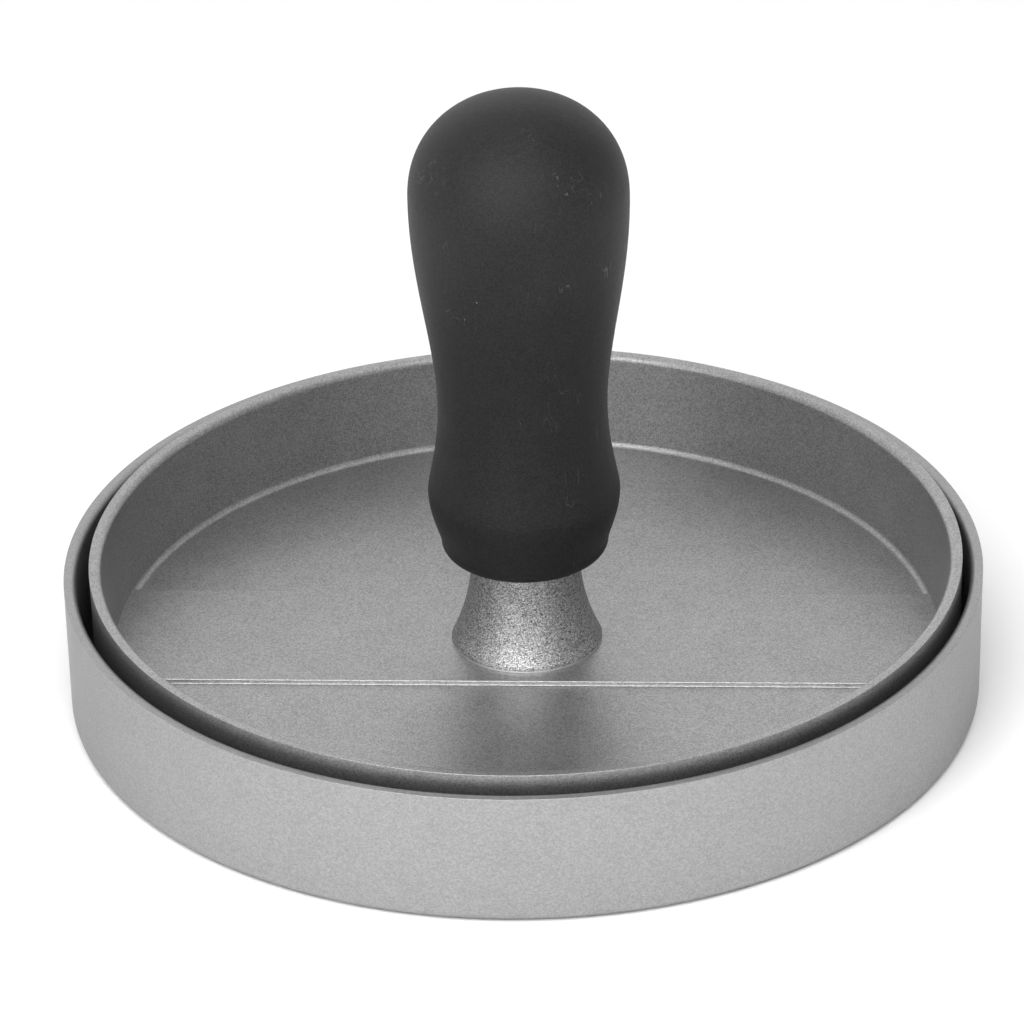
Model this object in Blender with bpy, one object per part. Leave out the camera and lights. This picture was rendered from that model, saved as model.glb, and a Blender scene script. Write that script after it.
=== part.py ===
"""Patty press: a ribbed mould dish, and a press that drops into it.

The press is a dished plate, a flared collar and a turned grip, all held by one countersunk screw
that runs up through the plate and the collar into a threaded insert moulded into the grip.

Every size below is in millimetres. The origin is the centre of the face that the base stands on,
+Z is up, and the plate's raised band runs along X.
"""

import math

import bmesh
import bpy

MM = 0.001  # metres in a millimetre

# Fits
SEAT_GAP = 0.3  # between faces that rest on each other
MOULDED_GAP = 0.3  # between the insert and the plastic round it
CLEARANCE = 0.3  # radial, round the screw's shank and the plate's spigot

# Base dish
BASE_RIM_RADIUS = 62.75
BASE_FOOT_RADIUS = 62.35
BASE_HEIGHT = 19.0
BASE_WALL = 1.7  # at the rim
BASE_FLOOR = 2.4
BASE_FOOT_EDGE = 1.2  # outer bottom edge radius
BASE_DRAFT = 0.8  # how much narrower the cavity is at its floor
RECESS_RADIUS = 53.0  # under the base, inside the foot ring
RECESS_DEPTH = 0.5
CORNER = 1.5  # inside corner, floor to wall
RIM_OUTER_EDGE = 0.25
RIM_INNER_EDGE = 0.85

# Ribs that mark the meat, on the base's floor and under the plate
RIB_HEIGHT = 1.0
RIB_PITCH = 8.0
RIB_FOOT_WIDTH = 2.8
RIB_CREST_WIDTH = 1.4
RIB_ROOT = 0.6  # how far a rib runs into the metal it stands on
BASE_RIB_FIELD = 57.0
PLATE_RIB_FIELD = 55.0
REST_GAP = 0.3  # between the ribs of the two parts at rest

# Press plate
PRESS_OFFSET = 0.35  # along X: the press rests a little off the base's centre, within its play
PLATE_RIM_RADIUS = 59.6
PLATE_FOOT_RADIUS = 59.2
PLATE_RIM_Z = 20.8
PLATE_WALL = 1.75  # at the rim
PLATE_FLOOR = 2.4
PLATE_FOOT_EDGE = 1.2
DISH_FLOOR_RADIUS = 56.6
DISH_CORNER = 0.9
RIB_CREST_Z = BASE_FLOOR + RIB_HEIGHT + REST_GAP
PLATE_UNDER_Z = RIB_CREST_Z + RIB_HEIGHT
PLATE_TOP_Z = PLATE_UNDER_Z + PLATE_FLOOR
BAND_HALF_WIDTH = 12.4
BAND_RISE = 0.6
BAND_SLOPE = 0.3  # how far a side of the band leans out at its foot
BAND_TOP_Z = PLATE_TOP_Z + BAND_RISE
HUB_RADIUS = 9.0  # round pad under the plate, round the screw
HUB_CLEARANCE = 10.5  # ribs stop this far from the axis
SPIGOT_RADIUS = 6.8  # stands up inside the collar and centres it
SPIGOT_TOP_Z = BAND_TOP_Z + 2.4

# Flared collar
COLLAR_FOOT_RADIUS = 10.3
COLLAR_LIP = 0.12  # plain edge under the flare
COLLAR_THROAT_RADIUS = 7.4
COLLAR_TOP_Z = 21.55
COLLAR_FOOT_Z = BAND_TOP_Z + SEAT_GAP
FLARE_POWER = 2.2  # how sharply the flare opens at its foot
WASHER_SEAT_RADIUS = 6.1

# Fixing screw, M6 countersunk, and its lock washer
SCREW_RADIUS = 2.7  # under the insert's bore by a thread's depth
SCREW_HEAD_RADIUS = 5.65
SCREW_HEAD_LIP = 0.4
SCREW_HEAD_SUNK = 0.2  # head face above the hub's face
SCREW_LENGTH = 31.0
SCREW_TIP_CHAMFER = 0.8
CROSS_ARM = 5.2
CROSS_WIDTH = 1.15
CROSS_DEPTH = 1.7
HOLE_RADIUS = SCREW_RADIUS + CLEARANCE
WASHER_RADIUS = 5.9
WASHER_THICKNESS = 1.6
WASHER_SPLIT = 1.2

# Grip and its insert. Heights are above the grip's foot.
GRIP_FOOT_Z = COLLAR_TOP_Z + SEAT_GAP
GRIP_FOOT_RADIUS = 9.8
GRIP_FOOT_EDGE = 1.6
GRIP_BULGE_H = 9.3
GRIP_BULGE_RADIUS = 13.07
GRIP_WAIST_H = 22.2
GRIP_WAIST_RADIUS = 11.5
GRIP_WIDEST_H = 53.65
GRIP_WIDEST_RADIUS = 14.88
GRIP_LENGTH = 67.65
SWELL_POWER = 0.9  # under 1, the grip swells sooner above its waist
FOOT_SWELL_POWER = 0.745  # and above its foot
WAIST_SWELL_POWER = 0.65
DOME_SQUARENESS = 2.16  # 2 is an ellipse
INSERT_RADIUS = 4.9
INSERT_LENGTH = 15.0
INSERT_GROOVE_RADIUS = 4.2
INSERT_GROOVE = (6.0, 9.0)  # from the foot
INSERT_BORE_RADIUS = SCREW_RADIUS + CLEARANCE

# Facets round each turned part
RIM_FACETS = 72
GRIP_FACETS = 40
SMALL_FACETS = 32


def clear_scene():
    for obj in list(bpy.data.objects):
        bpy.data.objects.remove(obj)


def material(name, colour, roughness, metallic):
    made = bpy.data.materials.new(name)
    made.use_nodes = True
    shader = made.node_tree.nodes["Principled BSDF"]
    shader.inputs["Base Color"].default_value = (*colour, 1.0)
    shader.inputs["Roughness"].default_value = roughness
    shader.inputs["Metallic"].default_value = metallic
    return made


def arc(centre_r, centre_z, radius, start, end, steps=3):
    """Points of a round edge in the (r, z) plane, from one angle in degrees to another."""
    points = []
    for step in range(steps + 1):
        angle = math.radians(start + (end - start) * step / steps)
        points.append((centre_r + radius * math.cos(angle), centre_z + radius * math.sin(angle)))
    return points


def add_object(name, mesh, mat, parent=None):
    obj = bpy.data.objects.new(name, mesh)
    obj.data.materials.append(mat)
    obj.parent = parent
    bpy.context.scene.collection.objects.link(obj)
    return obj


def turned_mesh(name, profile, facets):
    """A closed (r, z) outline turned round Z. Points on the axis become one vertex each."""
    work = bmesh.new()
    rings = []
    for r, z in profile:
        if r < 1e-6:
            rings.append([work.verts.new((0, 0, z * MM))] * facets)
            continue
        ring = []
        for i in range(facets):
            angle = 2 * math.pi * i / facets
            ring.append(work.verts.new((r * MM * math.cos(angle), r * MM * math.sin(angle), z * MM)))
        rings.append(ring)
    for lower, upper in zip(rings, rings[1:] + rings[:1]):
        for i in range(facets):
            j = (i + 1) % facets
            corners = list(dict.fromkeys((lower[i], lower[j], upper[j], upper[i])))
            if len(corners) > 2:
                work.faces.new(corners)
    bmesh.ops.recalc_face_normals(work, faces=work.faces)
    mesh = bpy.data.meshes.new(name)
    work.to_mesh(mesh)
    work.free()
    mesh.shade_smooth()
    mesh.set_sharp_from_angle(angle=math.radians(35))
    return mesh


def prism(work, outline_low, outline_high, z_low, z_high):
    """Adds a closed prism between two outlines of the same number of (x, y) points."""
    low = [work.verts.new((x * MM, y * MM, z_low * MM)) for x, y in outline_low]
    high = [work.verts.new((x * MM, y * MM, z_high * MM)) for x, y in outline_high]
    count = len(low)
    work.faces.new(list(reversed(low)))
    work.faces.new(high)
    for i in range(count):
        j = (i + 1) % count
        work.faces.new((low[i], low[j], high[j], high[i]))


def rectangle(x0, x1, y0, y1):
    return [(x0, y0), (x1, y0), (x1, y1), (x0, y1)]


def helper(name, work):
    """A hidden shape that a Boolean reads."""
    bmesh.ops.recalc_face_normals(work, faces=work.faces)
    mesh = bpy.data.meshes.new(name)
    work.to_mesh(mesh)
    work.free()
    obj = bpy.data.objects.new(name, mesh)
    obj.hide_render = True
    obj.display_type = "WIRE"
    bpy.context.scene.collection.objects.link(obj)
    return obj


def boolean(obj, other, operation):
    other.parent = obj
    modifier = obj.modifiers.new(other.name, "BOOLEAN")
    modifier.operation = operation
    modifier.object = other
    modifier.solver = "EXACT"


def rib_spans(field, gap):
    """(x from, x to, y) of each rib that fits a round field, leaving out a round gap at its centre."""
    rows = int(field // RIB_PITCH)
    for row in range(-rows, rows + 1):
        y = row * RIB_PITCH
        end = math.sqrt(field**2 - y**2)
        if end < RIB_PITCH:
            continue
        if abs(y) < gap:
            start = math.sqrt(gap**2 - y**2)
            yield -end, -start, y
            yield start, end, y
        else:
            yield -end, end, y


def rib_field(name, field, gap, z_root, z_crest):
    """The ribs as one hidden shape: bars along X with sloping sides and ends."""
    work = bmesh.new()
    lean = (RIB_FOOT_WIDTH - RIB_CREST_WIDTH) / 2
    foot, crest = RIB_FOOT_WIDTH / 2, RIB_CREST_WIDTH / 2
    for x0, x1, y in rib_spans(field, gap):
        root = rectangle(x0, x1, y - foot, y + foot)
        top = rectangle(x0 + lean, x1 - lean, y - crest, y + crest)
        if z_root < z_crest:
            prism(work, root, top, z_root, z_crest)
        else:
            prism(work, top, root, z_crest, z_root)
    return helper(name, work)


def rim(outer_r, inner_r, z):
    """The rounded top of a wall, from its outer side to its inner side."""
    outer = arc(outer_r - RIM_OUTER_EDGE, z - RIM_OUTER_EDGE, RIM_OUTER_EDGE, 0, 90, 2)
    inner = arc(inner_r + RIM_INNER_EDGE, z - RIM_INNER_EDGE, RIM_INNER_EDGE, 90, 180)
    return outer + inner


def base_pan(coating):
    """The lower mould: a straight-walled dish on a foot ring, with ribs across its floor."""
    cavity_rim = BASE_RIM_RADIUS - BASE_WALL
    cavity_floor = cavity_rim - BASE_DRAFT
    edge = BASE_FOOT_EDGE
    profile = [(0, RECESS_DEPTH), (RECESS_RADIUS - RECESS_DEPTH, RECESS_DEPTH), (RECESS_RADIUS, 0)]
    profile += arc(BASE_FOOT_RADIUS - edge, edge, edge, -90, 0)
    profile += rim(BASE_RIM_RADIUS, cavity_rim, BASE_HEIGHT)
    profile += arc(cavity_floor - CORNER, BASE_FLOOR + CORNER, CORNER, 0, -90)
    profile += [(0, BASE_FLOOR)]
    pan = add_object("base_pan", turned_mesh("base_pan", profile, RIM_FACETS), coating)
    ribs = rib_field("base_ribs", BASE_RIB_FIELD, 0, BASE_FLOOR - RIB_ROOT, BASE_FLOOR + RIB_HEIGHT)
    boolean(pan, ribs, "UNION")
    return pan


def band_shape():
    """The raised band across the plate: straight sides, and ends that follow the wall."""
    reach = DISH_FLOOR_RADIUS + 0.8
    work = bmesh.new()

    def outline(half_width):
        turn = math.asin(half_width / reach)
        right = arc(0, 0, reach, -math.degrees(turn), math.degrees(turn), 4)
        return right + [(-x, -y) for x, y in right]

    spread = (RIB_ROOT + BAND_RISE) / BAND_RISE * BAND_SLOPE
    low, high = outline(BAND_HALF_WIDTH + spread), outline(BAND_HALF_WIDTH)
    prism(work, low, high, PLATE_TOP_Z - RIB_ROOT, BAND_TOP_Z)
    return helper("plate_band", work)


def screw_hole():
    """The countersunk hole through the middle of the plate and its spigot."""
    sink_radius = SCREW_HEAD_RADIUS + 0.15
    lip_z = RIB_CREST_Z + SCREW_HEAD_SUNK + SCREW_HEAD_LIP
    sink_top_z = lip_z + sink_radius - HOLE_RADIUS
    low, high = RIB_CREST_Z - 1, SPIGOT_TOP_Z + 1
    profile = [(0, low), (sink_radius, low), (sink_radius, lip_z)]
    profile += [(HOLE_RADIUS, sink_top_z), (HOLE_RADIUS, high), (0, high)]
    work = bmesh.new()
    work.from_mesh(turned_mesh("screw_hole", profile, SMALL_FACETS))
    return helper("screw_hole", work)


def press_plate(coating, parent):
    """The upper mould: a dished plate, with ribs and a screw hub under it, a band and a spigot on it."""
    dish_rim = PLATE_RIM_RADIUS - PLATE_WALL
    edge = PLATE_FOOT_EDGE
    profile = [(0, RIB_CREST_Z), (HUB_RADIUS, RIB_CREST_Z), (HUB_RADIUS + 0.5, PLATE_UNDER_Z)]
    profile += arc(PLATE_FOOT_RADIUS - edge, PLATE_UNDER_Z + edge, edge, -90, 0)
    profile += rim(PLATE_RIM_RADIUS, dish_rim, PLATE_RIM_Z)
    profile += arc(DISH_FLOOR_RADIUS - DISH_CORNER, PLATE_TOP_Z + DISH_CORNER, DISH_CORNER, 0, -90, 2)
    profile += [(SPIGOT_RADIUS, PLATE_TOP_Z), (SPIGOT_RADIUS, SPIGOT_TOP_Z), (0, SPIGOT_TOP_Z)]
    plate = add_object("press_plate", turned_mesh("press_plate", profile, RIM_FACETS), coating, parent)
    ribs = rib_field("plate_ribs", PLATE_RIB_FIELD, HUB_CLEARANCE, PLATE_UNDER_Z + RIB_ROOT, RIB_CREST_Z)
    boolean(plate, ribs, "UNION")
    boolean(plate, band_shape(), "UNION")
    boolean(plate, screw_hole(), "DIFFERENCE")
    return plate


def flared_collar(coating, parent):
    """A trumpet-shaped spacer that stands over the spigot and carries the grip."""
    flare_z = COLLAR_FOOT_Z + COLLAR_LIP
    steps = 8
    profile = [(COLLAR_FOOT_RADIUS, COLLAR_FOOT_Z)]
    for step in range(steps + 1):
        share = step / steps
        widening = (COLLAR_FOOT_RADIUS - COLLAR_THROAT_RADIUS) * (1 - share) ** FLARE_POWER
        profile.append((COLLAR_THROAT_RADIUS + widening, flare_z + (COLLAR_TOP_Z - flare_z) * share))
    seat_z = COLLAR_TOP_Z - WASHER_THICKNESS - SEAT_GAP
    profile += [(WASHER_SEAT_RADIUS, COLLAR_TOP_Z), (WASHER_SEAT_RADIUS, seat_z), (HOLE_RADIUS, seat_z)]
    socket_z = SPIGOT_TOP_Z + CLEARANCE
    socket_radius = SPIGOT_RADIUS + CLEARANCE
    profile += [(HOLE_RADIUS, socket_z), (socket_radius, socket_z), (socket_radius, COLLAR_FOOT_Z)]
    return add_object("flared_collar", turned_mesh("flared_collar", profile, GRIP_FACETS), coating, parent)


def swell(r0, h0, r1, h1, power, steps):
    """Points of a smooth swell or narrowing from one (r, h) up to another, level at both ends."""
    points = []
    for step in range(1, steps + 1):
        share = step / steps
        ease = (1 - math.cos(math.pi * share**power)) / 2
        points.append((r0 + (r1 - r0) * ease, h0 + (h1 - h0) * share))
    return points


def grip_outline():
    """The grip's outside from its foot to its crown: a bulge, a waist, and a swell under a domed end."""
    edge = GRIP_FOOT_EDGE
    neck_r = GRIP_FOOT_RADIUS + edge
    points = arc(GRIP_FOOT_RADIUS, edge, edge, -90, 0)
    points += swell(neck_r, edge, GRIP_BULGE_RADIUS, GRIP_BULGE_H, FOOT_SWELL_POWER, 5)
    points += swell(GRIP_BULGE_RADIUS, GRIP_BULGE_H, GRIP_WAIST_RADIUS, GRIP_WAIST_H, WAIST_SWELL_POWER, 5)
    points += swell(GRIP_WAIST_RADIUS, GRIP_WAIST_H, GRIP_WIDEST_RADIUS, GRIP_WIDEST_H, SWELL_POWER, 8)
    steps = 9
    for step in range(1, steps + 1):
        angle = math.pi / 2 * step / steps
        share = 2 / DOME_SQUARENESS
        r = GRIP_WIDEST_RADIUS * max(math.cos(angle), 0) ** share
        h = GRIP_WIDEST_H + (GRIP_LENGTH - GRIP_WIDEST_H) * math.sin(angle) ** share
        points.append((r if step < steps else 0, h))
    return points


def insert_outline(grow):
    """The insert's outside, grown by a gap, from its foot to its top."""
    low, high = INSERT_GROOVE
    wide, narrow = INSERT_RADIUS + grow, INSERT_GROOVE_RADIUS + grow
    points = [(wide, 0), (wide, low + grow), (narrow, low + grow)]
    points += [(narrow, high - grow), (wide, high - grow), (wide, INSERT_LENGTH + grow)]
    return points


def handle_grip(plastic, parent):
    """The moulded grip, solid but for the insert's socket and room for the screw's tip."""
    profile = [(0, INSERT_LENGTH + MOULDED_GAP)]
    profile += list(reversed(insert_outline(MOULDED_GAP)))
    profile += grip_outline()
    profile = [(r, h + GRIP_FOOT_Z) for r, h in profile]
    return add_object("handle_grip", turned_mesh("handle_grip", profile, GRIP_FACETS), plastic, parent)


def handle_insert(brass, parent):
    """The threaded sleeve moulded into the grip."""
    profile = insert_outline(0) + [(INSERT_BORE_RADIUS, INSERT_LENGTH), (INSERT_BORE_RADIUS, 0)]
    profile = [(r, h + GRIP_FOOT_Z) for r, h in profile]
    return add_object("handle_insert", turned_mesh("handle_insert", profile, SMALL_FACETS), brass, parent)


def cross_shape(z_face):
    """The cross recess in the screw's head."""
    work = bmesh.new()
    arm, half = CROSS_ARM / 2, CROSS_WIDTH / 2
    mouth = [
        (arm, -half), (arm, half), (half, half), (half, arm), (-half, arm), (-half, half),
        (-arm, half), (-arm, -half), (-half, -half), (-half, -arm), (half, -arm), (half, -half),
    ]
    floor = [(x * 0.6 if abs(x) > half else x, y * 0.6 if abs(y) > half else y) for x, y in mouth]
    prism(work, mouth, floor, z_face - 0.5, z_face + CROSS_DEPTH)
    return helper("cross_recess", work)


def fixing_screw(steel, parent):
    """The countersunk screw, head down in the hub, that clamps the whole press together."""
    face_z = RIB_CREST_Z + SCREW_HEAD_SUNK
    lip_z = face_z + SCREW_HEAD_LIP
    neck_z = lip_z + SCREW_HEAD_RADIUS - SCREW_RADIUS
    tip_z = face_z + SCREW_LENGTH
    tip_radius = SCREW_RADIUS - SCREW_TIP_CHAMFER
    profile = [(0, face_z), (SCREW_HEAD_RADIUS, face_z), (SCREW_HEAD_RADIUS, lip_z)]
    profile += [(SCREW_RADIUS, neck_z), (SCREW_RADIUS, tip_z - SCREW_TIP_CHAMFER)]
    profile += [(tip_radius, tip_z), (0, tip_z)]
    screw = add_object("fixing_screw", turned_mesh("fixing_screw", profile, SMALL_FACETS), steel, parent)
    boolean(screw, cross_shape(face_z), "DIFFERENCE")
    return screw


def lock_washer(steel, parent):
    """A split spring washer, flattened under the grip."""
    low = COLLAR_TOP_Z - WASHER_THICKNESS
    profile = rectangle(HOLE_RADIUS, WASHER_RADIUS, low, COLLAR_TOP_Z)
    washer = add_object("lock_washer", turned_mesh("lock_washer", profile, SMALL_FACETS), steel, parent)
    work = bmesh.new()
    half, lean = WASHER_SPLIT / 2, 0.8
    near, far = HOLE_RADIUS / 2, WASHER_RADIUS + 1
    low_cut = rectangle(near, far, -half - lean, half - lean)
    high_cut = rectangle(near, far, -half + lean, half + lean)
    prism(work, low_cut, high_cut, low - 0.4, COLLAR_TOP_Z + 0.4)
    boolean(washer, helper("washer_split", work), "DIFFERENCE")
    return washer


def axis_empty(name, parent=None):
    empty = bpy.data.objects.new(name, None)
    empty.parent = parent
    bpy.context.scene.collection.objects.link(empty)
    return empty


def build():
    clear_scene()
    coating = material("grey_nonstick_coating", (0.33, 0.33, 0.335), 0.45, 0.6)
    collar_coating = material("sparkling_coating", (0.36, 0.36, 0.36), 0.38, 0.7)
    plastic = material("black_soft_plastic", (0.022, 0.022, 0.023), 0.6, 0.0)
    brass = material("brass", (0.72, 0.53, 0.26), 0.35, 1.0)
    steel = material("stainless_steel", (0.62, 0.62, 0.64), 0.3, 1.0)
    base_pan(coating)
    lift = axis_empty("press_lift_axis")
    lift.location.x = PRESS_OFFSET * MM
    turn = axis_empty("press_turn_axis", lift)
    flared_collar(collar_coating, lift)
    press_plate(coating, turn)
    handle_grip(plastic, turn)
    handle_insert(brass, turn)
    fixing_screw(steel, turn)
    lock_washer(steel, turn)


build()
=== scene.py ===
import math

import bmesh
import bpy
from mathutils import Matrix, Vector, noise


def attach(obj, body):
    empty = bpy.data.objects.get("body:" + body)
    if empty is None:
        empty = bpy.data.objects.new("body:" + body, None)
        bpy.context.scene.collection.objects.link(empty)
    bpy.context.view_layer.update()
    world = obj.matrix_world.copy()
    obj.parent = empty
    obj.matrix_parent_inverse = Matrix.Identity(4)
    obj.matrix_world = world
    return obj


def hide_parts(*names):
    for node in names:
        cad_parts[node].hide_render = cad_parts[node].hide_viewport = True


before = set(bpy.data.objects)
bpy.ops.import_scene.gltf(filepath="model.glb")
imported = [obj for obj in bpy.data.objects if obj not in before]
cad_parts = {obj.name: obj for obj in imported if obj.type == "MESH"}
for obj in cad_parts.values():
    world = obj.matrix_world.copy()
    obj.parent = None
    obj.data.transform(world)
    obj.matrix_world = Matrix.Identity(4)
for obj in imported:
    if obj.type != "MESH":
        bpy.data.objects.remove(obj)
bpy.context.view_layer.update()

MM = 0.001

# Sizes in millimetres. They are the CAD model's, except that the rims' outer edges are
# sharper and the collar's foot reaches down to the band.
BASE_RIM_RADIUS = 62.75
BASE_FOOT_RADIUS = 62.35
BASE_HEIGHT = 19.0
BASE_WALL = 1.7
BASE_FLOOR = 2.4
BASE_FOOT_EDGE = 1.2
BASE_DRAFT = 0.8
RECESS_RADIUS = 53.0
RECESS_DEPTH = 0.5
CORNER = 1.5
RIM_OUTER_EDGE = 0.06
RIM_INNER_EDGE = 0.85
EDGE_RING = 0.4  # a ring of points this far onto the flat beside an edge keeps its shading even

RIB_HEIGHT = 1.0
RIB_PITCH = 8.0
RIB_FOOT_WIDTH = 2.8
RIB_CREST_WIDTH = 1.4
RIB_CREST_EASE = 0.1
RIB_ROUND = 0.35
RIB_ROUND_START = 20  # degrees
RIB_ROOT = 0.6
BASE_RIB_FIELD = 57.0
PLATE_RIB_FIELD = 55.0
REST_GAP = 0.3

PRESS_OFFSET = 0.35
PLATE_RIM_RADIUS = 59.6
PLATE_FOOT_RADIUS = 59.2
PLATE_RIM_Z = 20.8
PLATE_WALL = 1.75
PLATE_FLOOR = 2.4
PLATE_FOOT_EDGE = 1.2
DISH_FLOOR_RADIUS = 56.6
DISH_CORNER = 0.9
RIB_CREST_Z = BASE_FLOOR + RIB_HEIGHT + REST_GAP
PLATE_UNDER_Z = RIB_CREST_Z + RIB_HEIGHT
PLATE_TOP_Z = PLATE_UNDER_Z + PLATE_FLOOR
HUB_RADIUS = 9.0
HUB_CLEARANCE = 10.5
HUB_BEVEL = 0.3
HUB_BEVEL_RISE = 0.15
HUB_SPREAD = 0.5

BAND_HALF_WIDTH = 12.4
BAND_RISE = 0.6
BAND_TOP_Z = PLATE_TOP_Z + BAND_RISE
BAND_END_OVERLAP = 0.8
BAND_TOP_LINES = (-8, -4, 0, 4, 8)
BAND_BEAD = 0.02
BAND_BEAD_LINES = ((1.0, 0.0), (0.5, 0.6), (0.3, 1.0))  # (in from the edge, share of the bead)
BAND_SHOULDER = 0.16
BAND_STEEPNESS = math.radians(75)
BAND_FOOT_LINES = ((0.0, 0.1), (0.04, 0.04), (0.12, -0.01), (0.18, -0.1))  # (out, above the dish)
BAND_STEADY_HALF_WIDTH = 12.0  # lines farther than this from the middle wander
BAND_WANDER = ((0.05, 0.35, 9), (0.03, 1.4, 5))  # (amount, rate along the band, row of the noise)

SPIGOT_RADIUS = 6.8
SPIGOT_TOP_Z = BAND_TOP_Z + 2.4
SEAT_GAP = 0.3
CLEARANCE = 0.3
COLLAR_FOOT_RADIUS = 10.3
COLLAR_FOOT_BEVEL = 0.02
COLLAR_FOOT_BEVEL_RISE = 0.06
COLLAR_STANDOFF = 0.02
COLLAR_LIP = 0.12
COLLAR_THROAT_RADIUS = 7.4
COLLAR_TOP_Z = 21.55
COLLAR_FOOT_Z = BAND_TOP_Z + SEAT_GAP
FLARE_POWER = 2.2
FLARE_STEPS = 30
WASHER_SEAT_RADIUS = 6.1
WASHER_THICKNESS = 1.6

SCREW_RADIUS = 2.7
SCREW_HEAD_RADIUS = 5.65
SCREW_HEAD_LIP = 0.4
SCREW_HEAD_SUNK = 0.2
SCREW_HEAD_BEVEL = 0.15
SCREW_HEAD_BEVEL_RISE = 0.12
SCREW_SINK_GAP = 0.15
SCREW_LENGTH = 31.0
SCREW_TIP_BEVEL = 0.8
THREAD_START = 2.0
THREAD_STOP = 1.5
THREAD_DEPTH = 0.45
THREAD_PITCH = 1.0
CROSS_ARM = 5.2
CROSS_WIDTH = 1.15
CROSS_DEPTH = 1.7
CROSS_TAPER = 0.6
CROSS_OVERCUT = 0.5
HOLE_RADIUS = SCREW_RADIUS + CLEARANCE
HOLE_OVERCUT = 1.0

GRIP_FOOT_Z = COLLAR_TOP_Z + SEAT_GAP
GRIP_FOOT_RADIUS = 9.8
GRIP_FOOT_EDGE = 1.6
GRIP_FOOT_FLAT = 0.3
GRIP_BULGE_H = 9.3
GRIP_BULGE_RADIUS = 13.07
GRIP_WAIST_H = 22.2
GRIP_WAIST_RADIUS = 11.5
GRIP_WIDEST_H = 53.65
GRIP_WIDEST_RADIUS = 14.88
GRIP_LENGTH = 67.65
GRIP_SOCKET_RADIUS = 5.2
GRIP_SOCKET_DEPTH = 15.3
FOOT_SWELL_POWER = 0.745
WAIST_SWELL_POWER = 0.65
SWELL_POWER = 0.9
DOME_SQUARENESS = 2.16

FACETS = 360
TURNING_FACETS = 192
SCREW_FACETS = 96
WALL_STEPS = 6
RIM_STEPS = 6
FOOT_SWELL_STEPS = 20
WAIST_SWELL_STEPS = 24
SWELL_STEPS = 48
DOME_STEPS = 40
ON_AXIS = 1e-6
SHARP_ANGLE = 34  # degrees


# ---------------------------------------------------------------- shapes

def arc(centre_r, centre_z, radius, start, end, steps=8):
    points = []
    for step in range(steps + 1):
        angle = math.radians(start + (end - start) * step / steps)
        points.append((centre_r + radius * math.cos(angle), centre_z + radius * math.sin(angle)))
    return points


def turned_bmesh(profile, facets=FACETS):
    """A closed (r, z) outline turned round Z."""
    work = bmesh.new()
    rings = []
    for r, z in profile:
        if r < ON_AXIS:
            rings.append([work.verts.new((0, 0, z * MM))] * facets)
            continue
        ring = []
        for i in range(facets):
            angle = 2 * math.pi * i / facets
            ring.append(work.verts.new((r * MM * math.cos(angle), r * MM * math.sin(angle), z * MM)))
        rings.append(ring)
    for lower, upper in zip(rings, rings[1:] + rings[:1]):
        for i in range(facets):
            j = (i + 1) % facets
            corners = list(dict.fromkeys((lower[i], lower[j], upper[j], upper[i])))
            if len(corners) > 2:
                work.faces.new(corners)
    bmesh.ops.recalc_face_normals(work, faces=work.faces)
    return work


def prism(work, outline_low, outline_high, z_low, z_high):
    low = [work.verts.new((x * MM, y * MM, z_low * MM)) for x, y in outline_low]
    high = [work.verts.new((x * MM, y * MM, z_high * MM)) for x, y in outline_high]
    count = len(low)
    work.faces.new(list(reversed(low)))
    work.faces.new(high)
    for i in range(count):
        j = (i + 1) % count
        work.faces.new((low[i], low[j], high[j], high[i]))


def object_from(work, name):
    bmesh.ops.recalc_face_normals(work, faces=work.faces)
    mesh = bpy.data.meshes.new(name)
    work.to_mesh(mesh)
    work.free()
    obj = bpy.data.objects.new(name, mesh)
    bpy.context.scene.collection.objects.link(obj)
    return obj


def combined(obj, steps):
    """Applies Booleans in turn, each a (helper object, operation), and removes the helpers."""
    for other, operation in steps:
        modifier = obj.modifiers.new(other.name, "BOOLEAN")
        modifier.operation = operation
        modifier.object = other
        modifier.solver = "EXACT"
    bpy.context.view_layer.update()
    depsgraph = bpy.context.evaluated_depsgraph_get()
    mesh = bpy.data.meshes.new_from_object(obj.evaluated_get(depsgraph))
    obj.modifiers.clear()
    old = obj.data
    obj.data = mesh
    mesh.name = obj.name
    bpy.data.meshes.remove(old)
    for other, _ in steps:
        bpy.data.objects.remove(other)
    return obj


def finished(obj, body, node, material):
    """Shading, material, and the declarations that every piece needs."""
    obj.data.materials.clear()
    obj.data.materials.append(material)
    obj.data.shade_smooth()
    obj.data.set_sharp_from_angle(angle=math.radians(SHARP_ANGLE))
    normals = obj.modifiers.new("even_normals", "WEIGHTED_NORMAL")
    normals.mode = "FACE_AREA"
    normals.keep_sharp = True
    if body != "base":
        obj.location.x = PRESS_OFFSET * MM
    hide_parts(node)
    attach(obj, body)


def rib_spans(field, gap):
    """(x0, x1, y) of every rib in a round field, with a round gap in its middle."""
    rows = int(field // RIB_PITCH)
    for row in range(-rows, rows + 1):
        y = row * RIB_PITCH
        end = math.sqrt(field**2 - y**2)
        if end < RIB_PITCH:
            continue
        if abs(y) < gap:
            start = math.sqrt(gap**2 - y**2)
            yield -end, -start, y
            yield start, end, y
        else:
            yield -end, end, y


def rib_section(z_root, z_crest, steps=5):
    """(offset across the rib, z) from one foot over a rounded crest to the other foot."""
    up = 1 if z_crest > z_root else -1
    foot, crest = RIB_FOOT_WIDTH / 2, RIB_CREST_WIDTH / 2
    half = [(foot, z_root)]
    for step in range(steps + 1):
        angle = math.radians(RIB_ROUND_START + (90 - RIB_ROUND_START) * step / steps)
        across = crest - RIB_ROUND + RIB_ROUND * math.cos(angle) + RIB_CREST_EASE
        half.append((across, z_crest - up * RIB_ROUND * (1 - math.sin(angle))))
    return half + [(-y, z) for y, z in reversed(half)]


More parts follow.
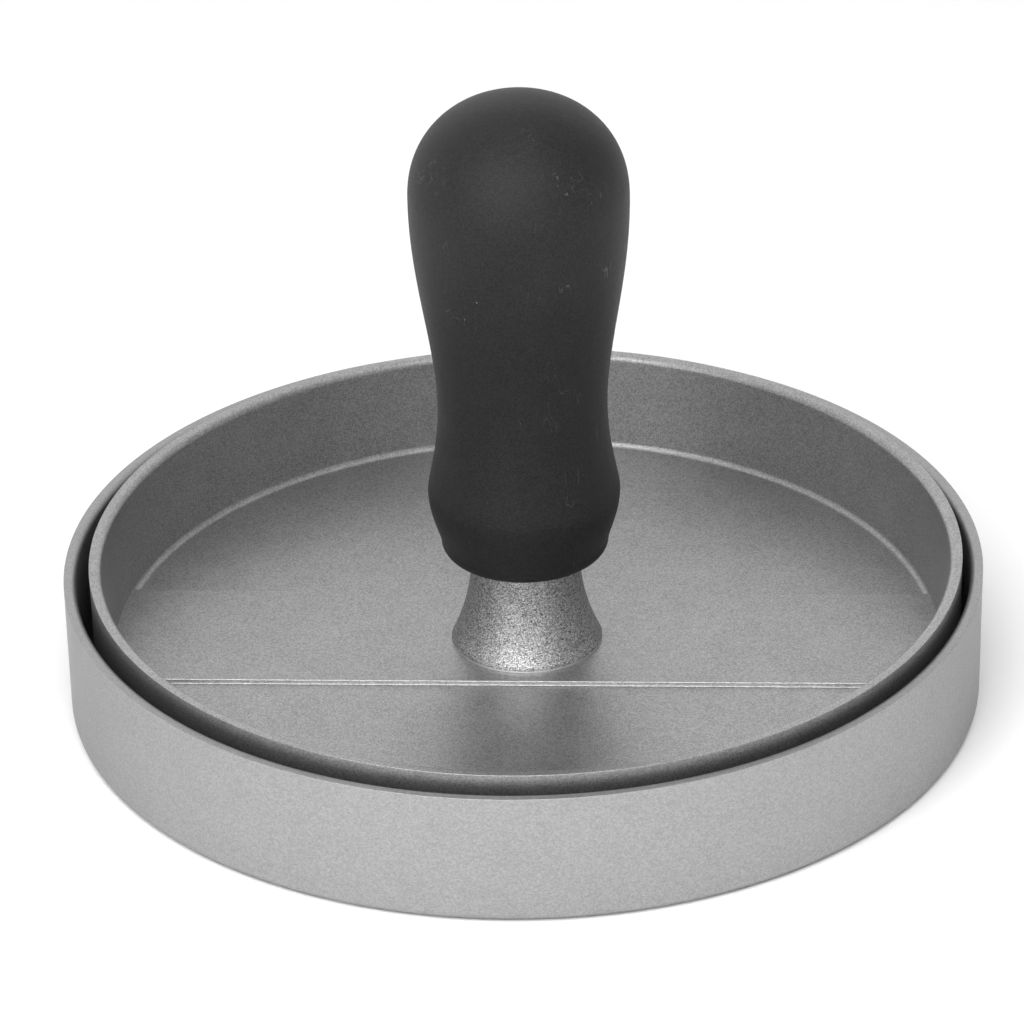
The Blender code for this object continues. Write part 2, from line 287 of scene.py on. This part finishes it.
def rib_field(name, field, gap, z_root, z_crest):
    work = bmesh.new()
    section = rib_section(z_root, z_crest)
    lean = (RIB_FOOT_WIDTH - RIB_CREST_WIDTH) / 2
    depth = abs(z_crest - z_root)
    for x0, x1, y in rib_spans(field, gap):
        rings = []
        for x, inward in ((x0, 1), (x1, -1)):
            ring = []
            for across, z in section:
                share = abs(z - z_root) / depth
                corner = ((x + inward * lean * share) * MM, (y + across) * MM, z * MM)
                ring.append(work.verts.new(corner))
            rings.append(ring)
        a, b = rings
        count = len(a)
        for i in range(count):
            j = (i + 1) % count
            work.faces.new((a[i], a[j], b[j], b[i]))
        work.faces.new(a)
        work.faces.new(list(reversed(b)))
    return object_from(work, name)


def rim(outer_r, inner_r, z):
    outer = arc(outer_r - RIM_OUTER_EDGE, z - RIM_OUTER_EDGE, RIM_OUTER_EDGE, 0, 90, RIM_STEPS)
    inner = arc(inner_r + RIM_INNER_EDGE, z - RIM_INNER_EDGE, RIM_INNER_EDGE, 90, 180, RIM_STEPS)
    return outer + inner


def wall(r0, z0, r1, z1):
    """Points between two ends of a straight wall, without the ends."""
    points = []
    for step in range(1, WALL_STEPS):
        points.append((r0 + (r1 - r0) * step / WALL_STEPS, z0 + (z1 - z0) * step / WALL_STEPS))
    return points


def pan_casting():
    cavity_rim = BASE_RIM_RADIUS - BASE_WALL
    cavity_floor = cavity_rim - BASE_DRAFT
    recess_top = RECESS_RADIUS - RECESS_DEPTH
    edge = BASE_FOOT_EDGE
    profile = [(0, RECESS_DEPTH), (recess_top - EDGE_RING, RECESS_DEPTH), (recess_top, RECESS_DEPTH)]
    profile += [(RECESS_RADIUS, 0), (RECESS_RADIUS + EDGE_RING, 0)]
    profile += [(BASE_FOOT_RADIUS - edge - EDGE_RING, 0)]
    profile += arc(BASE_FOOT_RADIUS - edge, edge, edge, -90, 0)
    profile += wall(BASE_FOOT_RADIUS, edge, BASE_RIM_RADIUS, BASE_HEIGHT - RIM_OUTER_EDGE)
    profile += rim(BASE_RIM_RADIUS, cavity_rim, BASE_HEIGHT)
    profile += wall(cavity_rim, BASE_HEIGHT - RIM_INNER_EDGE, cavity_floor, BASE_FLOOR + CORNER)
    profile += arc(cavity_floor - CORNER, BASE_FLOOR + CORNER, CORNER, 0, -90)
    profile += [(cavity_floor - CORNER - EDGE_RING, BASE_FLOOR), (0, BASE_FLOOR)]
    pan = object_from(turned_bmesh(profile), "pan_casting")
    ribs = rib_field("pan_ribs", BASE_RIB_FIELD, 0, BASE_FLOOR - RIB_ROOT, BASE_FLOOR + RIB_HEIGHT)
    return combined(pan, [(ribs, "UNION")])


def band_crest(steps=5):
    """(y, z) across the band: a flat top, a slight bead of coating at its edges and steep sides."""
    edge = BAND_HALF_WIDTH
    bead_z = BAND_TOP_Z + BAND_BEAD
    side = [(edge - inward, BAND_TOP_Z + share * BAND_BEAD) for inward, share in BAND_BEAD_LINES]
    for step in range(steps + 1):
        turned = BAND_STEEPNESS * step / steps
        y = edge - BAND_SHOULDER * (1 - math.sin(turned))
        side.append((y, bead_z - BAND_SHOULDER * (1 - math.cos(turned))))
    side_y, side_z = side[-1]
    foot_z = PLATE_TOP_Z + BAND_FOOT_LINES[0][1]
    foot_y = side_y + (side_z - foot_z) / math.tan(BAND_STEEPNESS)
    side += [(foot_y + outward, PLATE_TOP_Z + rise) for outward, rise in BAND_FOOT_LINES]
    inner = [(y, BAND_TOP_Z) for y in BAND_TOP_LINES]
    return [(-y, z) for y, z in reversed(side)] + inner + side


def band_wander(x, y):
    """The sides of the band stray by a few hundredths of a millimetre, as a coated casting's do."""
    if abs(y) <= BAND_STEADY_HALF_WIDTH:
        return 0.0
    wander = 0.0
    for amount, rate, row in BAND_WANDER:
        wander += amount * noise.noise(Vector((x * rate, math.copysign(row, y), 0)))
    return wander


def band_shape(stations=240):
    """The raised band across the dish, from a column of points at each station along it."""
    reach = DISH_FLOOR_RADIUS + BAND_END_OVERLAP
    root_z = PLATE_TOP_Z - RIB_ROOT
    crest = band_crest()
    work = bmesh.new()
    upper, lower = [], []
    for station in range(stations + 1):
        along = -1 + 2 * station / stations
        top_row, under_row = [], []
        for y, z in crest:
            x = along * math.sqrt(reach**2 - y**2)
            strayed = y + band_wander(x, y)
            top_row.append(work.verts.new((x * MM, strayed * MM, z * MM)))
            under_row.append(work.verts.new((x * MM, strayed * MM, root_z * MM)))
        upper.append(top_row)
        lower.append(under_row)
    last = len(crest) - 1
    for s in range(stations):
        here, there, under, beyond = upper[s], upper[s + 1], lower[s], lower[s + 1]
        for i in range(last):
            work.faces.new((here[i], there[i], there[i + 1], here[i + 1]))
            work.faces.new((under[i], under[i + 1], beyond[i + 1], beyond[i]))
        work.faces.new((here[0], under[0], beyond[0], there[0]))
        work.faces.new((here[last], there[last], beyond[last], under[last]))
    for i in range(last):
        work.faces.new((upper[0][i], upper[0][i + 1], lower[0][i + 1], lower[0][i]))
        work.faces.new((upper[-1][i], lower[-1][i], lower[-1][i + 1], upper[-1][i + 1]))
    bmesh.ops.triangulate(work, faces=list(work.faces))
    return object_from(work, "plate_band")


def screw_hole():
    sink_radius = SCREW_HEAD_RADIUS + SCREW_SINK_GAP
    lip_z = RIB_CREST_Z + SCREW_HEAD_SUNK + SCREW_HEAD_LIP
    sink_top_z = lip_z + sink_radius - HOLE_RADIUS
    low, high = RIB_CREST_Z - HOLE_OVERCUT, SPIGOT_TOP_Z + HOLE_OVERCUT
    profile = [(0, low), (sink_radius, low), (sink_radius, lip_z)]
    profile += [(HOLE_RADIUS, sink_top_z), (HOLE_RADIUS, high), (0, high)]
    return object_from(turned_bmesh(profile, SCREW_FACETS), "screw_hole")


def plate_casting():
    dish_rim = PLATE_RIM_RADIUS - PLATE_WALL
    edge = PLATE_FOOT_EDGE
    foot_z, rim_z = PLATE_UNDER_Z + edge, PLATE_RIM_Z - RIM_OUTER_EDGE
    dish_z = PLATE_TOP_Z + DISH_CORNER
    profile = [(0, RIB_CREST_Z), (HUB_RADIUS - HUB_BEVEL, RIB_CREST_Z)]
    profile += [(HUB_RADIUS, RIB_CREST_Z + HUB_BEVEL_RISE), (HUB_RADIUS + HUB_SPREAD, PLATE_UNDER_Z)]
    profile += [(PLATE_FOOT_RADIUS - edge - EDGE_RING, PLATE_UNDER_Z)]
    profile += arc(PLATE_FOOT_RADIUS - edge, foot_z, edge, -90, 0)
    profile += wall(PLATE_FOOT_RADIUS, foot_z, PLATE_RIM_RADIUS, rim_z)
    profile += rim(PLATE_RIM_RADIUS, dish_rim, PLATE_RIM_Z)
    profile += wall(dish_rim, PLATE_RIM_Z - RIM_INNER_EDGE, DISH_FLOOR_RADIUS, dish_z)
    profile += arc(DISH_FLOOR_RADIUS - DISH_CORNER, dish_z, DISH_CORNER, 0, -90)
    profile += [(DISH_FLOOR_RADIUS - DISH_CORNER - EDGE_RING, PLATE_TOP_Z)]
    profile += [(SPIGOT_RADIUS, PLATE_TOP_Z), (SPIGOT_RADIUS, SPIGOT_TOP_Z), (0, SPIGOT_TOP_Z)]
    plate = object_from(turned_bmesh(profile), "plate_casting")
    root_z = PLATE_UNDER_Z + RIB_ROOT
    ribs = rib_field("plate_ribs", PLATE_RIB_FIELD, HUB_CLEARANCE, root_z, RIB_CREST_Z)
    return combined(plate, [(ribs, "UNION"), (band_shape(), "UNION"), (screw_hole(), "DIFFERENCE")])


def collar_turning():
    foot_z = BAND_TOP_Z + COLLAR_STANDOFF
    flare_z = COLLAR_FOOT_Z + COLLAR_LIP
    profile = [(COLLAR_FOOT_RADIUS - COLLAR_FOOT_BEVEL, foot_z)]
    profile += [(COLLAR_FOOT_RADIUS, foot_z + COLLAR_FOOT_BEVEL_RISE)]
    for step in range(FLARE_STEPS + 1):
        share = step / FLARE_STEPS
        widening = (COLLAR_FOOT_RADIUS - COLLAR_THROAT_RADIUS) * (1 - share) ** FLARE_POWER
        z = flare_z + (COLLAR_TOP_Z - flare_z) * share
        profile.append((COLLAR_THROAT_RADIUS + widening, z))
    seat_z = COLLAR_TOP_Z - WASHER_THICKNESS - SEAT_GAP
    profile += [(WASHER_SEAT_RADIUS, COLLAR_TOP_Z), (WASHER_SEAT_RADIUS, seat_z), (HOLE_RADIUS, seat_z)]
    socket_z = SPIGOT_TOP_Z + CLEARANCE
    socket_radius = SPIGOT_RADIUS + CLEARANCE
    profile += [(HOLE_RADIUS, socket_z), (socket_radius, socket_z), (socket_radius, foot_z)]
    return object_from(turned_bmesh(profile, TURNING_FACETS), "collar_turning")


def swell(start, end, power, steps):
    """Eased points from one (radius, height) to another, without the first."""
    (r0, h0), (r1, h1) = start, end
    points = []
    for step in range(1, steps + 1):
        share = step / steps
        ease = (1 - math.cos(math.pi * share**power)) / 2
        points.append((r0 + (r1 - r0) * ease, h0 + (h1 - h0) * share))
    return points


def grip_moulding():
    edge = GRIP_FOOT_EDGE
    foot = (GRIP_FOOT_RADIUS + edge, edge)
    bulge = (GRIP_BULGE_RADIUS, GRIP_BULGE_H)
    waist = (GRIP_WAIST_RADIUS, GRIP_WAIST_H)
    widest = (GRIP_WIDEST_RADIUS, GRIP_WIDEST_H)
    profile = [(0, GRIP_SOCKET_DEPTH), (GRIP_SOCKET_RADIUS, GRIP_SOCKET_DEPTH)]
    profile += [(GRIP_SOCKET_RADIUS, 0), (GRIP_FOOT_RADIUS - GRIP_FOOT_FLAT, 0)]
    profile += arc(GRIP_FOOT_RADIUS, edge, edge, -90, 0)
    profile += swell(foot, bulge, FOOT_SWELL_POWER, FOOT_SWELL_STEPS)
    profile += swell(bulge, waist, WAIST_SWELL_POWER, WAIST_SWELL_STEPS)
    profile += swell(waist, widest, SWELL_POWER, SWELL_STEPS)
    share = 2 / DOME_SQUARENESS
    for step in range(1, DOME_STEPS + 1):
        angle = math.pi / 2 * step / DOME_STEPS
        r = GRIP_WIDEST_RADIUS * max(math.cos(angle), 0) ** share
        h = GRIP_WIDEST_H + (GRIP_LENGTH - GRIP_WIDEST_H) * math.sin(angle) ** share
        profile.append((r if step < DOME_STEPS else 0, h))
    profile = [(r, h + GRIP_FOOT_Z) for r, h in profile]
    return object_from(turned_bmesh(profile, TURNING_FACETS), "grip_moulding")


def screw_turning():
    face_z = RIB_CREST_Z + SCREW_HEAD_SUNK
    lip_z = face_z + SCREW_HEAD_LIP
    neck_z = lip_z + SCREW_HEAD_RADIUS - SCREW_RADIUS
    tip_z = face_z + SCREW_LENGTH
    profile = [(0, face_z), (SCREW_HEAD_RADIUS - SCREW_HEAD_BEVEL, face_z)]
    profile += [(SCREW_HEAD_RADIUS, face_z + SCREW_HEAD_BEVEL_RISE)]
    profile += [(SCREW_HEAD_RADIUS, lip_z), (SCREW_RADIUS, neck_z)]
    z = neck_z + THREAD_START
    while z < tip_z - THREAD_STOP:
        profile += [(SCREW_RADIUS, z), (SCREW_RADIUS - THREAD_DEPTH, z + THREAD_PITCH / 2)]
        z += THREAD_PITCH
    profile += [(SCREW_RADIUS, tip_z - SCREW_TIP_BEVEL), (SCREW_RADIUS - SCREW_TIP_BEVEL, tip_z)]
    profile += [(0, tip_z)]
    screw = object_from(turned_bmesh(profile, SCREW_FACETS), "screw_turning")
    arm, half = CROSS_ARM / 2, CROSS_WIDTH / 2
    mouth = [
        (arm, -half), (arm, half), (half, half), (half, arm), (-half, arm), (-half, half),
        (-arm, half), (-arm, -half), (-half, -half), (-half, -arm), (half, -arm), (half, -half),
    ]
    floor = []
    for x, y in mouth:
        floor.append((x * CROSS_TAPER if abs(x) > half else x, y * CROSS_TAPER if abs(y) > half else y))
    work = bmesh.new()
    prism(work, mouth, floor, face_z - CROSS_OVERCUT, face_z + CROSS_DEPTH)
    return combined(screw, [(object_from(work, "cross_recess"), "DIFFERENCE")])


# ---------------------------------------------------------------- materials

NOISE_LOW, NOISE_HIGH = 0.3, 0.7  # nearly all of a noise texture's values lie between these


def linear(grey):
    """A 0 to 255 display grey as a linear value."""
    v = grey / 255
    return v / 12.92 if v <= 0.04045 else ((v + 0.055) / 1.055) ** 2.4


class NodeTree:
    """Short ways to add nodes to a tree."""

    def __init__(self, tree):
        self.nodes = tree.nodes
        self.links = tree.links

    def link(self, a, b):
        self.links.new(a, b)

    def math(self, operation, a, b=None):
        node = self.nodes.new("ShaderNodeMath")
        node.operation = operation
        for socket, value in zip(node.inputs, (a, b)):
            if value is None:
                continue
            if isinstance(value, (int, float)):
                socket.default_value = value
            else:
                self.link(value, socket)
        return node.outputs["Value"]

    def span(self, value, low, high, to_low, to_high):
        node = self.nodes.new("ShaderNodeMapRange")
        sockets = ("From Min", "From Max", "To Min", "To Max")
        for name, number in zip(sockets, (low, high, to_low, to_high)):
            node.inputs[name].default_value = number
        self.link(value, node.inputs["Value"])
        return node.outputs["Result"]


class Surface(NodeTree):
    """A material whose textures lie in the object's own space."""

    def __init__(self, name):
        self.material = bpy.data.materials.new(name)
        self.material.use_nodes = True
        super().__init__(self.material.node_tree)
        self.shader = self.nodes["Principled BSDF"]
        self.place = self.nodes.new("ShaderNodeTexCoord").outputs["Object"]

    def noise(self, size, detail=2.0, rough=0.5, stretch=None, distortion=0.0):
        node = self.nodes.new("ShaderNodeTexNoise")
        node.inputs["Scale"].default_value = 1 / size
        node.inputs["Detail"].default_value = detail
        node.inputs["Roughness"].default_value = rough
        node.inputs["Distortion"].default_value = distortion
        self.link(self.stretched(stretch), node.inputs["Vector"])
        return node.outputs["Fac"]

    def stretched(self, stretch):
        if stretch is None:
            return self.place
        node = self.nodes.new("ShaderNodeMapping")
        node.inputs["Scale"].default_value = stretch
        self.link(self.place, node.inputs["Vector"])
        return node.outputs["Vector"]

    def cells(self, size, output="Distance"):
        node = self.nodes.new("ShaderNodeTexVoronoi")
        node.inputs["Scale"].default_value = 1 / size
        self.link(self.place, node.inputs["Vector"])
        return node.outputs[output]

    def cell_tone(self, size):
        """A number from 0 to 1 that differs from cell to cell."""
        node = self.nodes.new("ShaderNodeSeparateColor")
        self.link(self.cells(size, "Color"), node.inputs["Color"])
        return node.outputs["Red"]

    def height(self):
        node = self.nodes.new("ShaderNodeSeparateXYZ")
        self.link(self.place, node.inputs["Vector"])
        return node.outputs["Z"]

    def spread(self, texture, to_low, to_high):
        """A noise texture's usual range, mapped onto another."""
        return self.span(texture, NOISE_LOW, NOISE_HIGH, to_low, to_high)

    def mix(self, factor, a, b):
        """Two colours, each a grey, a tuple or a socket, mixed by a socket."""
        node = self.nodes.new("ShaderNodeMix")
        node.data_type = "RGBA"
        self.link(factor, node.inputs["Factor"])
        for socket, value in ((node.inputs[6], a), (node.inputs[7], b)):
            if isinstance(value, (int, float)):
                value = (value, value, value)
            if isinstance(value, tuple):
                socket.default_value = (*value, 1.0)
            else:
                self.link(value, socket)
        return node.outputs[2]

    def bump(self, height, distance, under=None):
        node = self.nodes.new("ShaderNodeBump")
        node.inputs["Distance"].default_value = distance
        node.inputs["Strength"].default_value = 1.0
        self.link(height, node.inputs["Height"])
        if under is not None:
            self.link(under, node.inputs["Normal"])
        return node.outputs["Normal"]

    def set(self, name, value):
        socket = self.shader.inputs[name]
        if isinstance(value, (int, float)):
            socket.default_value = value
        elif isinstance(value, tuple):
            socket.default_value = (*value, 1.0)
        else:
            self.link(value, socket)


def speckled_coating(name, grain, relief, dark, light, rough, flake_contrast):
    """Grey metallic non-stick coating: grain in its relief, flakes in its colour, faint mottling."""
    flake_size = grain * 1.1
    mottle_size, mottle_depth = 5 * MM, 0.03
    wave_size, wave_depth = 2.6 * MM, 0.012 * MM
    speckle_low, speckle_high = 0.22, 0.78
    grain_low, grain_high = 0.25, 0.75
    smoother, rougher = 0.05, 0.06
    g = Surface(name)
    fine = g.noise(grain, detail=1.0, rough=0.6)
    body = g.math("MULTIPLY", fine, 1 - flake_contrast)
    flakes = g.math("MULTIPLY", g.cell_tone(flake_size), flake_contrast)
    mottling = g.spread(g.noise(mottle_size, detail=3.0, rough=0.55), -mottle_depth, mottle_depth)
    tone = g.math("ADD", g.math("ADD", body, flakes), mottling)
    g.set("Base Color", g.mix(g.span(tone, speckle_low, speckle_high, 0, 1), dark, light))
    g.set("Metallic", 0.94)
    g.set("Specular Tint", (0.66, 0.66, 0.66))
    sheen = g.math("ADD", fine, mottling)
    g.set("Roughness", g.span(sheen, grain_low, grain_high, rough - smoother, rough + rougher))
    waves = g.bump(g.noise(wave_size), wave_depth)
    g.set("Normal", g.bump(fine, relief, waves))
    return g.material


def sparkling_coating(name):
    """The collar's coarser finish: tilted facets about a tenth of a millimetre across that glint, and a
    painted highlight along its foot.
    """
    facet_size, facet_depth = 0.125 * MM, 0.032 * MM
    flake_size = facet_size * 0.9
    grain_size, grain_depth = facet_size * 0.8, 0.016 * MM
    highlight_low_z, highlight_high_z = (BAND_TOP_Z + 0.22) * MM, (BAND_TOP_Z + 0.38) * MM
    painted_highlight_grey = 0.85
    g = Surface(name)
    grain = g.noise(grain_size, rough=0.6)
    coat = g.mix(g.cell_tone(flake_size), linear(74), linear(240))
    # Painted highlight: the base colour turns a light grey over the lowest few tenths of a millimetre
    # of the collar, standing in for the light its foot edge catches.
    edge = g.span(g.height(), highlight_low_z, highlight_high_z, 1, 0)
    g.set("Base Color", g.mix(edge, coat, painted_highlight_grey))
    g.set("Metallic", 0.95)
    g.set("Specular Tint", (0.6, 0.6, 0.6))
    g.set("Roughness", g.spread(grain, 0.32, 0.44))
    facets = g.bump(g.cells(facet_size), facet_depth)
    g.set("Normal", g.bump(grain, grain_depth, facets))
    return g.material


def soft_black_plastic(name):
    """Matte moulded plastic with a fine grain, and the odd speck of dust and hair-fine scratch."""
    grain_size, grain_depth = 0.15 * MM, 0.075 * MM
    fleck_size, cloud_size = 0.17 * MM, 14 * MM
    wave_size, wave_depth = 3.5 * MM, 0.03 * MM
    speck_spacing, speck_radius, speck_rarity, speck_strength = 1.7 * MM, 0.055, 0.93, 0.6
    hair_size, hair_stretch, hair_bend, hair_width = 2.2 * MM, (1.0, 1.0, 0.16), 1.2, 0.0035
    patch_size, patch_rarity, hair_strength = 7 * MM, 0.64, 0.18
    g = Surface(name)
    grain = g.noise(grain_size, rough=0.6)
    clouds = g.math("MULTIPLY", g.noise(cloud_size, detail=3.0), 0.5)
    flecks = g.math("MULTIPLY", g.cell_tone(fleck_size), 0.5)
    base = g.mix(g.span(g.math("ADD", clouds, flecks), 0.2, 0.8, 0, 1), linear(9), linear(34))
    chosen = g.math("GREATER_THAN", g.cell_tone(speck_spacing), speck_rarity)
    near = g.math("LESS_THAN", g.cells(speck_spacing), speck_radius)
    dust = g.math("MULTIPLY", g.math("MULTIPLY", chosen, near), speck_strength)
    hair = g.noise(hair_size, detail=1.0, rough=0.4, stretch=hair_stretch, distortion=hair_bend)
    off_middle = g.math("ABSOLUTE", g.math("SUBTRACT", hair, 0.5))
    scratch = g.math("LESS_THAN", off_middle, hair_width)
    patches = g.math("GREATER_THAN", g.noise(patch_size, detail=1.0), patch_rarity)
    scratches = g.math("MULTIPLY", g.math("MULTIPLY", scratch, patches), hair_strength)
    g.set("Base Color", g.mix(g.math("MAXIMUM", dust, scratches), base, linear(150)))
    g.set("Roughness", g.spread(grain, 0.46, 0.60))
    g.set("Specular IOR Level", 0.3)
    waves = g.bump(g.noise(wave_size), wave_depth)
    g.set("Normal", g.bump(grain, grain_depth, waves))
    return g.material


def machined_metal(name, colour, rough):
    """Turned metal: fine rings across its axis, with painted shade in their grooves."""
    ring_size, ring_stretch, ring_depth = 0.22 * MM, (0.15, 0.15, 1.0), 0.01 * MM
    groove_painted_shade, groove_rough = 0.72, 0.16
    g = Surface(name)
    rings = g.noise(ring_size, rough=0.6, stretch=ring_stretch)
    # Painted shade: the colour darkens in the rings' grooves, where the bump is lowest.
    shaded_colour = tuple(c * groove_painted_shade for c in colour)
    g.set("Base Color", g.mix(g.spread(rings, 0, 1), shaded_colour, colour))
    g.set("Metallic", 1.0)
    g.set("Roughness", g.spread(rings, rough, rough + groove_rough))
    g.set("Normal", g.bump(rings, ring_depth))
    return g.material


def pale_floor(name):
    g = Surface(name)
    tone = g.noise(0.35, rough=0.4)
    g.set("Base Color", g.mix(g.spread(tone, 0, 1), 0.93, 0.95))
    g.set("Roughness", g.spread(tone, 0.85, 0.9))
    g.set("Specular IOR Level", 0.2)
    return g.material


# ---------------------------------------------------------------- the object

# name, grain, relief, darkest and lightest grey, roughness, contrast of the flakes
COATED_PAN = speckled_coating(
    "coated_pan", 0.20 * MM, 0.011 * MM, linear(145), linear(175), 0.42, 0.3)
COATED_PLATE = speckled_coating(
    "coated_plate", 0.135 * MM, 0.018 * MM, linear(132), linear(190), 0.40, 0.4)
COATED_COLLAR = sparkling_coating("coated_collar")
GRIP_PLASTIC = soft_black_plastic("grip_plastic")
SCREW_STEEL = machined_metal("screw_steel", (0.62, 0.62, 0.64), 0.22)
WASHER_STEEL = machined_metal("washer_steel", (0.55, 0.55, 0.57), 0.3)
INSERT_BRASS = machined_metal("insert_brass", (0.72, 0.53, 0.26), 0.3)

finished(pan_casting(), "base", "base_pan", COATED_PAN)
finished(plate_casting(), "press", "press_plate", COATED_PLATE)
finished(collar_turning(), "press_axis", "flared_collar", COATED_COLLAR)
finished(grip_moulding(), "press", "handle_grip", GRIP_PLASTIC)
finished(screw_turning(), "press", "fixing_screw", SCREW_STEEL)

for node, material in (("handle_insert", INSERT_BRASS), ("lock_washer", WASHER_STEEL)):
    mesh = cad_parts[node].data
    mesh.materials.clear()
    mesh.materials.append(material)

# ---------------------------------------------------------------- stage, light and camera

# The floor lies just under the object. Sizes in metres.
FLOOR_RADIUS = 9.0
FLOOR_FACETS = 96
FLOOR_DROP = 0.0001

work = bmesh.new()
bmesh.ops.create_circle(work, cap_ends=True, segments=FLOOR_FACETS, radius=FLOOR_RADIUS)
floor = object_from(work, "floor")
floor.location.z = -FLOOR_DROP
floor.data.materials.append(pale_floor("pale_floor"))

# The white sky's strength: falling from horizon to zenith, sloping along X and along Y, and
# losing this share of itself toward both sides
SKY_HORIZON, SKY_ZENITH = 1.28, 0.58
SKY_LEFT, SKY_RIGHT = 1.27, 0.72
SKY_FRONT, SKY_BACK = 0.72, 1.28
SKY_SIDE_LOSS = 0.5

world = bpy.data.worlds.new("studio")
world.use_nodes = True
bpy.context.scene.world = world
sky = NodeTree(world.node_tree)
coordinates = sky.nodes.new("ShaderNodeTexCoord")
split = sky.nodes.new("ShaderNodeSeparateXYZ")
sky.link(coordinates.outputs["Generated"], split.inputs["Vector"])
sideways = sky.math("POWER", sky.math("ABSOLUTE", split.outputs["X"]), 2.0)
strength = sky.span(split.outputs["Z"], 0, 1, SKY_HORIZON, SKY_ZENITH)
for factor in (
    sky.span(split.outputs["X"], -1, 1, SKY_LEFT, SKY_RIGHT),
    sky.span(split.outputs["Y"], -1, 1, SKY_FRONT, SKY_BACK),
    sky.span(sideways, 0, 1, 1, 1 - SKY_SIDE_LOSS),
):
    strength = sky.math("MULTIPLY", strength, factor)
background = sky.nodes["Background"]
sky.link(strength, background.inputs["Strength"])
background.inputs["Color"].default_value = (1, 1, 1, 1)

# name, location, target, diameter in metres, watts
SOFTBOXES = (
    ("overhead", (0.0, 0.2, 3.0), (0, 0, 0), 3.2, 12),
    ("front", (-0.05, -0.36, 0.38), (-0.01, -0.19, 0), 0.52, 2.35),
    ("left_window", (-0.68, -1.05, 0.42), (0, 0, 0.02), 0.7, 1.9),
    ("right_window", (0.72, -1.03, 0.42), (0, 0, 0.02), 0.7, 0.9),
)

for name, location, target, diameter, watts in SOFTBOXES:
    light = bpy.data.lights.new(name, "AREA")
    light.shape = "DISK"
    light.size = diameter
    light.energy = watts
    lamp = bpy.data.objects.new(name, light)
    lamp.location = location
    lamp.rotation_euler = (Vector(target) - Vector(location)).to_track_quat("-Z", "Y").to_euler()
    lamp.visible_camera = False
    bpy.context.scene.collection.objects.link(lamp)

# The camera stands 1.24 m off, 30 degrees above the table, with a small pan, tilt and roll.
DISTANCE = 1.2386
ELEVATION = math.radians(30.109)
AZIMUTH = math.radians(2.9)
PAN = math.radians(-0.064)
TILT = math.radians(1.100)
ROLL = math.radians(-1.108)
FOCAL_PIXELS = 9000
FRAME_PIXELS = 1024
SENSOR_WIDTH = 36
CLIP_START, CLIP_END = 0.05, 50


def turned(a, b, angle):
    """Two axes at right angles, both turned in their plane: the first toward the second."""
    return a * math.cos(angle) + b * math.sin(angle), b * math.cos(angle) - a * math.sin(angle)


back = Vector((
    math.sin(AZIMUTH) * math.cos(ELEVATION),
    -math.cos(AZIMUTH) * math.cos(ELEVATION),
    math.sin(ELEVATION),
))
forward = -back
right = Vector((math.cos(AZIMUTH), math.sin(AZIMUTH), 0))
up = right.cross(forward)
forward, right = turned(forward, right, PAN)
forward, up = turned(forward, up, TILT)
right, up = turned(right, up, ROLL)
turn = Matrix((right, up, -forward)).transposed().to_4x4()
lens = bpy.data.cameras.new("camera")
lens.sensor_width = SENSOR_WIDTH
lens.lens = SENSOR_WIDTH * FOCAL_PIXELS / FRAME_PIXELS
lens.clip_start, lens.clip_end = CLIP_START, CLIP_END
camera = bpy.data.objects.new("camera", lens)
camera.matrix_world = Matrix.Translation(back * DISTANCE) @ turn
bpy.context.scene.collection.objects.link(camera)
bpy.context.scene.camera = camera

bpy.context.scene.view_settings.view_transform = "Standard"
bpy.context.scene.view_settings.look = "None"
